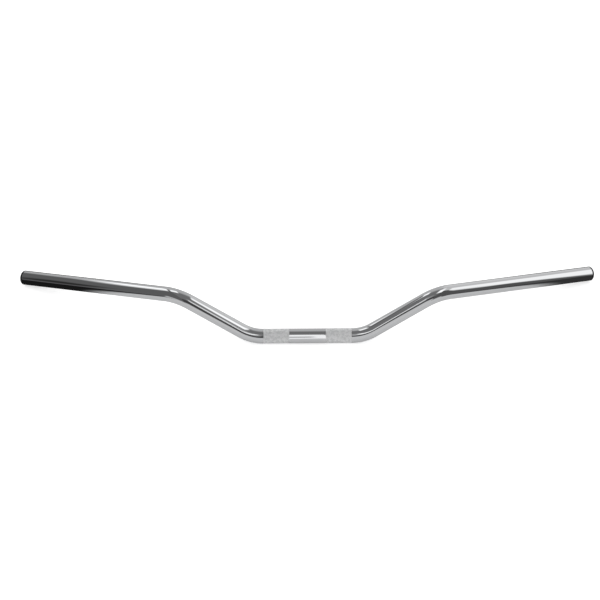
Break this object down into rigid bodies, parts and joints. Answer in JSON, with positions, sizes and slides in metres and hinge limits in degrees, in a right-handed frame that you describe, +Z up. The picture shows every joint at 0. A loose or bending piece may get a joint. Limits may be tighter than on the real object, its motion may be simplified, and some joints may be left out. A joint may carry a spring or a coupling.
{
  "type": "motorcycle handlebar",
  "caption": "Bent chromed steel tube handlebar with raised, swept-back grip ends, knurled clamp bands and a plug in each end.",
  "frame": {"origin": "middle of the straight clamp stretch, on the axis of the tube", "axes": "+X along the clamp stretch towards the right grip, +Y from the clamp stretch towards the grip ends, +Z up from the table that the bar lies on"},
  "size_m": [0.895, 0.1609, 0.0717],
  "materials": {
    "handlebar_tube": "polished chrome plate, matt where it is knurled",
    "end_plug": "black moulded plastic with a soft gloss"
  },
  "bodies": {
    "root": {"handlebar_tube": "handlebar_tube", "left_end_plug": "end_plug", "right_end_plug": "end_plug"}
  },
  "joints": []
}
